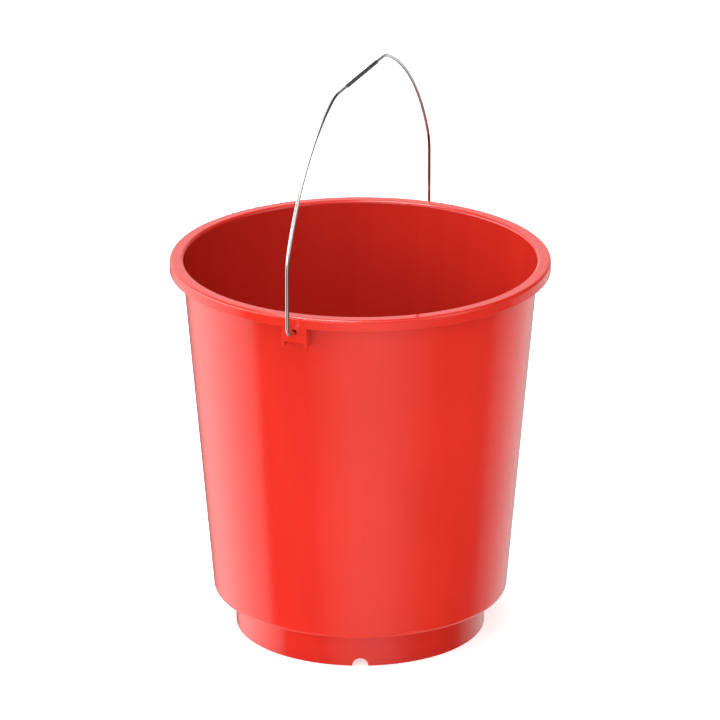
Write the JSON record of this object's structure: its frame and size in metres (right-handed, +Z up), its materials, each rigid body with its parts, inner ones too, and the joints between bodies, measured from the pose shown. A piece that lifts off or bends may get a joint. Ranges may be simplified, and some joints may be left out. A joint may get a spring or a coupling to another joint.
{
  "type": "wash bucket",
  "caption": "Round tapered plastic wash bucket with turned-down rim, raised foot ring with drain notch, and a swinging wire bail with a thin hand sleeve.",
  "frame": {"origin": "centre of the underside of the foot ring, where the bucket stands", "axes": "+Z up along the bucket's round axis, X parallel to the bail's pivot axis, Y square to the upright bail"},
  "size_m": [0.3438, 0.312, 0.4759],
  "materials": {
    "bucket_plastic": "glossy red moulded polypropylene",
    "bail_wire": "bright plated steel wire",
    "sleeve_plastic": "satin black vinyl tube"
  },
  "bodies": {
    "bucket": {"bucket": "bucket_plastic"},
    "bail": {"bail": "bail_wire"},
    "grip_sleeve": {"grip_sleeve": "sleeve_plastic"}
  },
  "joints": [
    {"name": "bail_swing", "type": "hinge", "parent": "bucket", "child": "bail", "pos_m": [0, 0, 0.306], "axis": [1, 0, 0], "range_deg": [-124, 124]},
    {"name": "sleeve_spin", "type": "hinge", "parent": "bail", "child": "grip_sleeve", "pos_m": [0.00265, 0, 0.47415], "axis": [1, 0, 0], "continuous": true}
  ]
}
